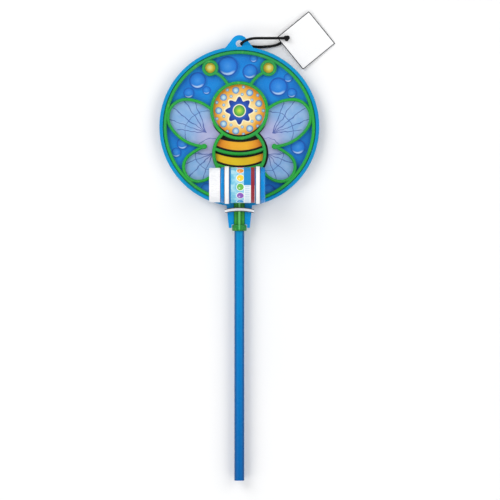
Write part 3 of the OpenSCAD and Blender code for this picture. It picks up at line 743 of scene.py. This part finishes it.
@dataclass(frozen=True)
class BandFilm:
    """White strap film with fine drawn lines along it and dark cut edges."""

    name: str
    left_x: float
    right_x: float
    edge_mm: float = 0.7

    def paint(self) -> Material:
        """Mixes the film.

        Returns:
            The material.
        """
        paint = Paint(self.name, tint(250, 251, 252))
        inset = (paint.x - self.left_x).least(self.right_x - paint.x)
        drawn = paint.noise(1.0, 3.0, 0.6, paint.vector_math("MULTIPLY", paint.spot, (3.0, 0.1, 0.1)))
        paint.lay(drawn.fade(0.4, 0.7), tint(238, 241, 245))
        paint.lay(inset.fade(self.edge_mm, self.edge_mm * 0.6) * 0.9, tint(28, 32, 40))
        return paint.finish(drawn * 0.2 + 0.3, drawn, 0.02, {SPECULAR: 0.4})


@dataclass(frozen=True)
class ClipPlastic:
    """White plastic of the clip, which bows up to top_y in its middle, with dark lines along its edges."""

    plastic: MouldedPlastic = MouldedPlastic(
        "clip_plastic", tint(254, 254, 255), tint(228, 231, 236), Gloss.SATIN
    )
    bow_r: float = 69.1
    top_y: float = -91.0
    width_mm: float = 4.5
    edge_mm: float = 1.1

    def paint(self) -> Material:
        """Mixes the plastic, with the lines only on the faces of its outside.

        Returns:
            The material.
        """
        paint = Paint(self.plastic.name, self.plastic.colour)
        paint.lay(paint.noise(0.2).fade(0.4, 0.75) * 0.5, self.plastic.deep)
        upper = self.bow_r - paint.distance(paint.flat, (0.0, self.top_y - self.bow_r))
        lower = paint.distance(paint.flat, (0.0, self.top_y - self.width_mm - self.bow_r)) - self.bow_r
        line = upper.least(lower).fade(self.edge_mm, self.edge_mm * 0.6)
        outside = abs(paint.facing()[1]).fade(0.8, 0.5)
        paint.lay(line * outside * 0.95, tint(30, 34, 42))
        return self.plastic.surface(paint)


@dataclass(frozen=True)
class TagCard:
    """Smooth white card with a thin dark line along its edges."""

    centre: Point = (75.1, 97.5)
    side_mm: float = 46.8
    side_a: float = 39.3
    line_mm: float = 1.1

    def paint(self) -> Material:
        """Mixes the card.

        Returns:
            The material.
        """
        paint = Paint("tag_card", tint(252, 252, 252))
        spot = paint.join(paint.x - self.centre[0], paint.y - self.centre[1])
        along, across = (abs(paint.along(spot, polar(1.0, self.side_a + quarter))) for quarter in (0, 90))
        inset = self.side_mm / 2 - along.most(across)
        fibre = paint.noise(1.8, 4.0, 0.65)
        paint.lay(fibre.fade(0.3, 0.75), tint(243, 244, 246))
        paint.lay(inset.fade(self.line_mm, self.line_mm * 0.7), tint(40, 38, 44))
        return paint.finish(fibre * 0.15 + 0.5, fibre, 0.012, {SPECULAR: 0.25})


@dataclass(frozen=True)
class BraidedCord:
    """Black braided cord: strands that cross so many times per length, on the piece's own UV map."""

    name: str
    per_length: float
    strands: int = 8

    def paint(self) -> Material:
        """Mixes the braid, with a painted highlight on its strands' crests and painted shade in its grooves.

        Returns:
            The material.
        """
        paint = Paint(self.name, tint(1, 1, 2))
        along, around, _unused = paint.split(paint.node("ShaderNodeTexCoord", output="UV"))
        rise = (along * self.per_length + around * self.strands) * math.tau
        fall = (along * self.per_length - around * self.strands) * math.tau
        weave = rise.cosine().most(fall.cosine()) * 0.5 + 0.5
        fuzz = paint.noise(3.0, 3.0, 0.6)
        # painted highlight on the strands' crests, painted shade in the grooves between them, and random fuzz
        # in the fibre
        paint.lay(weave * 0.6 + fuzz * 0.3, tint(22, 22, 24))
        fixed = {SPECULAR: 0.15, "Sheen Weight": 0.02}
        return paint.finish(0.74 - weave * 0.16, weave + fuzz * 0.25, 0.16, fixed)


@dataclass(frozen=True)
class SoftLight:
    """A wide square light, in metres and watts."""

    name: str
    place: Place
    side: float
    watts: float

    def build(self, target: Place) -> None:
        """Hangs the light and turns it to a point.

        Args:
            target: The point that it shines on.
        """
        data = bpy.data.lights.new(self.name, "AREA")
        data.energy, data.size = self.watts, self.side
        light = bpy.data.objects.new(self.name, data)
        light.location = self.place
        light.rotation_mode = "QUATERNION"
        light.rotation_quaternion = (Vector(target) - Vector(self.place)).to_track_quat("-Z", "Y")
        bpy.context.scene.collection.objects.link(light)


@dataclass
class Studio:
    """The floor, the soft light and the camera, in metres.

    The picture's middle falls on centre, and it shows a square of the plane at level_z with the side field.
    The room is as bright as room_low at the floor and room_high straight above. The lights shine on target.
    """

    centre: Point = (0.0120, -0.1388)
    level_z: float = 0.0097
    field: float = 0.5625
    lens_mm: float = 210.0
    sensor_mm: float = 36.0
    floor_side: float = 12.0
    floor_z: float = -0.0002
    room_low: float = 0.95
    room_high: float = 0.3
    target: Place = (0.0, -0.1, 0.0)
    lights: tuple[SoftLight, ...] = (
        SoftLight("window_light", (-1.3, 1.0, 1.5), 1.4, 20.0),
        SoftLight("right_light", (1.5, 0.6, 1.4), 1.5, 10.5),
        SoftLight("left_fill", (-1.3, -1.2, 1.4), 1.5, 9.5),
        SoftLight("low_fill", (1.2, -1.4, 1.5), 1.5, 9.0),
    )

    def build_camera(self) -> None:
        """Hangs the camera straight over the set."""
        data = bpy.data.cameras.new("camera")
        data.lens, data.sensor_width = self.lens_mm, self.sensor_mm
        data.clip_start, data.clip_end = 0.05, 40.0
        camera = bpy.data.objects.new("camera", data)
        camera.location = (*self.centre, self.level_z + self.field * self.lens_mm / self.sensor_mm)
        bpy.context.scene.collection.objects.link(camera)
        bpy.context.scene.camera = camera

    def build_floor(self) -> None:
        """Lays a large pale floor just under the tray."""
        hold()
        bpy.ops.mesh.primitive_plane_add(size=self.floor_side, location=(0, 0, self.floor_z))
        floor = bpy.context.object
        floor.name = "floor"
        paint = Paint("pale_floor", tint(252, 252, 252))
        paint.lay(paint.noise(0.004, 2.0, 0.5).fade(0.3, 0.7), tint(249, 250, 251))
        floor.data.materials.append(paint.finish(0.7, fixed={SPECULAR: 0.1}))

    def build_light(self) -> None:
        """Sets a pale room, darker above, and its wide soft lights."""
        world = bpy.data.worlds.new("pale_room")
        world.use_nodes = True
        tree = world.node_tree
        way = tree.nodes.new("ShaderNodeTexCoord")
        split = tree.nodes.new("ShaderNodeSeparateXYZ")
        ramp = tree.nodes.new("ShaderNodeValToRGB")
        for element, grey in zip(ramp.color_ramp.elements, (self.room_low, self.room_high)):
            element.color = (grey, grey, grey, 1.0)
        tree.links.new(way.outputs["Generated"], split.inputs[0])
        tree.links.new(split.outputs["Z"], ramp.inputs[0])
        tree.links.new(ramp.outputs["Color"], tree.nodes["Background"].inputs["Color"])
        bpy.context.scene.world = world
        for light in self.lights:
            light.build(self.target)
        bpy.context.scene.view_settings.view_transform = "Standard"


def dress(node: str, material: Material) -> None:
    """Gives a CAD node its finish in place of its plain one.

    Args:
        node: The node's name.
        material: The finish.
    """
    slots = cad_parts[node].data.materials
    slots.clear()
    slots.append(material)
    log.info("%s wears %s", node, material.name)


def hold(*pieces: Piece) -> None:
    """Selects only some pieces, or nothing.

    Args:
        *pieces: The pieces, of which the last becomes active.
    """
    bpy.ops.object.select_all(action="DESELECT")
    for piece in pieces:
        piece.select_set(True)
        bpy.context.view_layer.objects.active = piece


def tube_mesh(
    name: str, route: Sequence[Vector], radius: float, closed: bool = False, sides: int = 4
) -> Piece:
    """Draws a round tube along a route and makes it a mesh with its own UV map.

    Args:
        name: The piece's name.
        route: The tube's middle line, in metres.
        radius: The tube's radius.
        closed: Whether its ends meet.
        sides: How fine the tube's roundness is.

    Returns:
        The mesh object, at the origin.
    """
    data = bpy.data.curves.new(name, "CURVE")
    data.dimensions = "3D"
    data.bevel_depth = radius
    data.bevel_resolution = sides
    data.use_fill_caps = not closed
    line = data.splines.new("POLY")
    line.points.add(len(route) - 1)
    for point, place in zip(line.points, route):
        point.co = (*place, 1.0)
    line.use_cyclic_u = closed
    made = bpy.data.objects.new(name, data)
    bpy.context.scene.collection.objects.link(made)
    hold(made)
    bpy.ops.object.convert(target="MESH")
    bpy.ops.object.shade_smooth_by_angle(angle=math.radians(50))
    return bpy.context.object


@dataclass
class HangTag:
    """The tag with its cord and knot.

    The cord's route is counted from the hang hole's middle, and runs from the knot through the hole and back.
    The knot has turns over the tag, at the scale of knot_mm, a run through it and a pressed lump under it.
    """

    hole_y: float = 93.2
    route: tuple[Place, ...] = (
        (51.2, 6.5, 6.2), (45, 6.5, 7.4), (37, 6.3, 9.6), (29, 6.1, 12.2), (21, 5.9, 14.8), (15, 5.4, 16.8),
        (10, 4.2, 17.6), (5.8, 2.4, 16.8), (3.2, 0.8, 14.6), (2.2, 0, 11.3), (3.1, -0.6, 8), (6.2, -1.3, 5.2),
        (11, -2.1, 3.6), (16, -2.7, 2.7), (22, -3, 2.1), (29, -2.8, 1.7), (36, -2.1, 1.6), (42, -0.8, 1.6),
        (46.6, 1.4, 1.6), (50.4, 4.2, 1.7), (52.4, 5.7, 1.7),
    )
    cord_mm: float = 3.0
    knot_at: Place = (53.4, 99.7, 7.2)
    knot_mm: float = 0.78
    turn_points: int = 72
    turn_r: float = 1.35
    run_r: float = 1.4
    run_z: tuple[float, ...] = (1.7, 2.6, 4.0, 5.4, 6.6)
    lump_r: float = 1.55
    lump_z: float = 1.65
    lump_shape: Place = (1.2, 1.05, 0.96)

    def smooth_route(self, steps: int = 6) -> list[Vector]:
        """Rounds the route off between its points.

        Args:
            steps: How many stretches each gap is cut into.

        Returns:
            The route's points, in metres.
        """
        points = [Vector((x, y + self.hole_y, z)) * MM for x, y, z in self.route]
        last = len(points) - 1
        made: list[Vector] = []
        for n in range(last):
            a, b = points[max(n - 1, 0)], points[n]
            c, d = points[n + 1], points[min(n + 2, last)]
            for step in range(steps):
                t = step / steps
                square, cube = 2 * a - 5 * b + 4 * c - d, 3 * b - a - 3 * c + d
                made.append((2 * b + (c - a) * t + square * t**2 + cube * t**3) / 2)
        return [*made, points[last]]

    def build_cord(self) -> None:
        """Lays the cord and ties its knot on the tag."""
        route = self.smooth_route()
        cord = tube_mesh("tag_cord_braid", route, self.cord_mm / 2 * MM, sides=6)
        cord.data.materials.append(BraidedCord("braided_cord", 150).paint())
        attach(cord, "tag")
        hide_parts("tag_cord")
        knot = self.build_knot()

    def build_knot(self) -> Piece:
        """Ties a three-turn knot above the tag, with its run through the hole and a lump below.

        Returns:
            The knot.
        """
        middle = Vector(self.knot_at)
        turns: list[Vector] = []
        for n in range(self.turn_points):
            t = n / self.turn_points * math.tau
            across, along = math.sin(t) + 2 * math.sin(2 * t), math.cos(t) - 2 * math.cos(2 * t)
            turns.append((middle + Vector((across, along, -1.75 * math.sin(3 * t))) * self.knot_mm) * MM)
        knot = tube_mesh("cord_knot_turns", turns, self.turn_r * MM, closed=True)
        run = tube_mesh("cord_knot_run", [Vector((*middle.xy, z)) * MM for z in self.run_z], self.run_r * MM)
        hold()
        bpy.ops.mesh.primitive_uv_sphere_add(
            segments=24,
            ring_count=12,
            radius=self.lump_r * MM,
            location=Vector((*middle.xy, self.lump_z)) * MM,
        )
        lump = bpy.context.object
        bpy.ops.transform.resize(value=self.lump_shape)
        bpy.ops.object.transform_apply(location=True, rotation=True, scale=True)
        bpy.ops.object.shade_smooth()
        hold(run, lump, knot)
        bpy.ops.object.join()
        knot.data.materials.clear()
        knot.data.materials.append(BraidedCord("knotted_cord", 60).paint())
        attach(knot, "tag")
        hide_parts("cord_knot")
        log.info("knot tied")
        return knot

    def build(self) -> None:
        """Builds the cord and the knot, and dresses the tag."""
        self.build_cord()
        dress("hang_tag", TagCard().paint())


@dataclass
class BottleStrap:
    """One film strap around the bottle, through the card's slits, which stands for a CAD node.

    Its inner face runs around the bottle's middle line, given as Y and Z, at hold_r, and below it around two
    small turns at turns_y and turn_z. It is extruded across by strips, which are shares of its width.
    """

    node: str
    left_x: float
    right_x: float
    bottle: Point = (-66.3, 32.5)
    hold_r: float = 20.25
    turn_r: float = 1.0
    turn_z: float = 7.25
    turns_y: Point = (-72.7, -67.1)
    hold_steps: int = 88
    turn_steps: int = 8
    film_mm: float = 0.7
    edge_r: float = 0.14
    strips: tuple[float, ...] = (0.1, 0.4, 0.4, 0.1)

    def _way(self, turn_y: float, side: int) -> float:
        """Finds the direction in which a straight run faces outwards.

        Args:
            turn_y: The place of the lower turn that the run comes from.
            side: -1 for the lower run, 1 for the upper one.

        Returns:
            The angle in degrees.
        """
        run = Vector((turn_y - self.bottle[0], self.turn_z - self.bottle[1]))
        lean = math.acos((self.hold_r - self.turn_r) / run.length)
        return math.degrees(math.atan2(run.y, run.x) + side * lean)

    def outline(self) -> list[Vector]:
        """Traces the strap's inner face across the bottle.

        Returns:
            The points, as Y and Z.
        """
        low, high = self._way(self.turns_y[0], -1) % 360, self._way(self.turns_y[1], 1)
        points: list[Vector] = []
        for centre, radius, start, end, count in (
            (self.bottle, self.hold_r, high, low, self.hold_steps),
            ((self.turns_y[0], self.turn_z), self.turn_r, low, 270.0, self.turn_steps),
            ((self.turns_y[1], self.turn_z), self.turn_r, 270.0, high % 360, self.turn_steps),
        ):
            for n in range(count + 1):
                points.append(Vector(centre) + polar(radius, start + (end - start) * n / count))
        return points

    def model(self) -> Piece:
        """Bends a circle to the outline, extrudes it across, and gives it thickness and soft edges.

        Returns:
            The band.
        """
        points = self.outline()
        hold()
        bpy.ops.mesh.primitive_circle_add(vertices=len(points), radius=self.hold_r * MM, calc_uvs=False)
        band = bpy.context.object
        band.name = band.data.name = f"{self.node}_band"
        for corner, point in zip(band.data.vertices, points):
            corner.co = Vector((self.left_x, *point)) * MM
        bpy.ops.object.mode_set(mode="EDIT")
        bpy.ops.mesh.select_all(action="SELECT")
        for share in self.strips:
            step = (self.right_x - self.left_x) * share * MM
            bpy.ops.mesh.extrude_region_move(TRANSFORM_OT_translate={"value": (step, 0, 0)})
        bpy.ops.mesh.select_all(action="SELECT")
        bpy.ops.mesh.normals_make_consistent(inside=False)
        bpy.ops.object.mode_set(mode="OBJECT")
        film = band.modifiers.new("film", "SOLIDIFY")
        film.thickness, film.offset = self.film_mm * MM, 1.0
        bpy.ops.object.modifier_apply(modifier=film.name)
        edges = band.modifiers.new("edges", "BEVEL")
        edges.width, edges.segments = self.edge_r * MM, 2
        edges.limit_method, edges.angle_limit = "ANGLE", math.radians(50)
        bpy.ops.object.modifier_apply(modifier=edges.name)
        bpy.ops.object.shade_smooth_by_angle(angle=math.radians(40))
        return band

    def build(self) -> None:
        """Models the band and dresses it."""
        band = self.model()
        band.data.materials.append(BandFilm(f"{self.node}_film", self.left_x, self.right_x).paint())
        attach(band, "wand")
        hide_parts(self.node)
        log.info("%s built as a band", self.node)


@dataclass
class LoopedWand:
    """The wand's moulding and its rod.

    Its flats are bright, its slopes carry painted shade and its upper part is shaded. The stem has painted
    shade in its recesses and on its collar, a painted highlight on its middle fin, and streaks run through
    the plastic. A span is where a colour starts and where it is full.
    """

    bright: Colour = tint(46, 172, 64)
    deep: Colour = tint(16, 126, 50)
    shaded: Colour = tint(48, 150, 88)
    shaded_y: Span = (30, 80)
    stem: Colour = tint(92, 204, 84)
    stem_y: Span = (-82, -90)
    stem_end_y: Span = (-112, -109)
    stem_shade: Colour = tint(12, 104, 34)
    stem_shade_y: Span = (-83, -88)
    collar_y: Span = (-110.4, -111.0)
    collar_end_y: Span = (-114.8, -116.9)
    stem_highlight: Colour = tint(132, 206, 142)
    streak: Colour = tint(124, 200, 88)

    def build(self) -> None:
        """Dresses the frame and the rod."""
        dress("wand_frame", self._frame_finish())
        dress("handle_rod", RodPlastic().paint())

    def _frame_finish(self) -> Material:
        """Mixes the clear green plastic, lighter along the stem, with painted shade and a painted highlight
        on it.

        Returns:
            The material.
        """
        plastic = MouldedPlastic("wand_plastic", self.bright, self.deep, glow=0.12)
        paint = Paint(plastic.name, self.bright)
        paint.lay(paint.noise(0.045, 4.0, 0.6).fade(0.35, 0.72) * 0.5, self.shaded)
        paint.lay(paint.y.fade(*self.shaded_y) * 0.7, self.shaded)
        paint.lay(paint.y.fade(*self.stem_y) * paint.y.fade(*self.stem_end_y) * 0.6, self.stem)
        # painted shade on the frame's slopes
        paint.lay(paint.slopes(0.98, 0.3) * 0.5, self.deep)
        across = abs(paint.x)
        below = paint.y.fade(*self.stem_shade_y)
        collar = paint.y.fade(*self.collar_y)
        # painted shade in the stem's recesses beside its middle fin and on the collar's sides
        stem_shade_mask = (across.fade(0.9, 1.6) * across.fade(3.4, 2.6)).most(collar * across.fade(0.8, 3.6))
        paint.lay(below * stem_shade_mask * 0.6, self.stem_shade)
        # painted highlight along the stem's middle fin
        paint.lay(below * across.fade(1.1, 0.3) * 0.6, self.stem_highlight)
        # painted shade on the collar's lower end and below it
        paint.lay(paint.y.fade(*self.collar_end_y) * 0.7, self.stem_shade)
        drawn_out = paint.vector_math("MULTIPLY", paint.spot, (1.0, 1.0, 0.2))
        paint.lay(paint.noise(0.2, 3.0, 0.6, drawn_out).fade(0.58, 0.74) * 0.35, self.streak)
        return plastic.surface(paint)


@dataclass
class DipTray:
    """The tray with flow lines in its rim, a brighter tab and spout, and painted shade on its slopes."""

    rim: Colour = tint(0, 146, 200)
    flow: Colour = tint(0, 128, 190)
    tab: Colour = tint(0, 150, 222)
    tab_x: Span = (40, 24)
    tab_y: Span = (84, 92)
    deep: Colour = tint(0, 100, 162)

    def build(self) -> None:
        """Dresses the tray and the clip over its spout."""
        plastic = MouldedPlastic("tray_plastic", self.rim, self.deep)
        paint = Paint(plastic.name, self.rim)
        paint.lay(paint.noise(0.02).fade(0.35, 0.7) * 0.3, self.flow)
        paint.lay(abs(paint.y).fade(*self.tab_y) * abs(paint.x).fade(*self.tab_x), self.tab)
        # painted shade: the tray's slopes are darkened with the deep colour
        paint.lay(paint.slopes(0.97, 0.3) * 0.6, self.deep)
        dress("dip_tray", plastic.surface(paint))
        dress("neck_clip", ClipPlastic().paint())


@dataclass
class SolutionBottle:
    """The blown bottle with its label, its cap with a foam liner, what is inside and the straps around it."""

    blown: MouldedPlastic = MouldedPlastic("bottle_plastic", tint(2, 144, 220), tint(0, 108, 184), glow=0.1)
    cap: MouldedPlastic = MouldedPlastic("cap_plastic", tint(254, 254, 255), tint(222, 226, 233), Gloss.SATIN)
    foam: MouldedPlastic = MouldedPlastic(
        "liner_foam", tint(232, 231, 226), tint(206, 204, 198), Gloss.MATT, clouds_per_mm=0.4, skin_mm=0.05
    )
    straps: tuple[BottleStrap, ...] = (
        BottleStrap("strap_cap_end", -16.7, -11.0),
        BottleStrap("strap_base_end", 18.2, 23.4),
    )

    def build(self) -> None:
        """Dresses the bottle's pieces and builds its straps."""
        dress("bottle", self.blown.paint())
        dress("bottle_label", LabelPrint().paint())
        dress("screw_cap", self.cap.paint())
        dress("cap_liner", self.foam.paint())
        dress("bubble_solution", self._liquid())
        for strap in self.straps:
            strap.build()

    @staticmethod
    def _liquid() -> Material:
        """Mixes the clear solution with a trace of suds.

        Returns:
            The material.
        """
        paint = Paint("solution", tint(214, 238, 246))
        suds = paint.noise(0.5, 4.0, 0.6).fade(0.55, 0.7)
        paint.lay(suds, tint(246, 252, 254))
        return paint.finish(suds * 0.2 + 0.04, suds, 0.05, {"Transmission Weight": 0.85, "IOR": 1.33})


def main() -> None:
    """Builds the studio, the cord and every piece in order."""
    logging.basicConfig(level=logging.INFO, format="%(name)s: %(message)s")
    studio = Studio()
    studio.build_camera()
    HangTag().build()
    DipTray().build()
    dress("printed_card", CardPrint().paint())
    LoopedWand().build()
    SolutionBottle().build()
    studio.build_floor()
    studio.build_light()


if __name__ == "__main__":
    main()
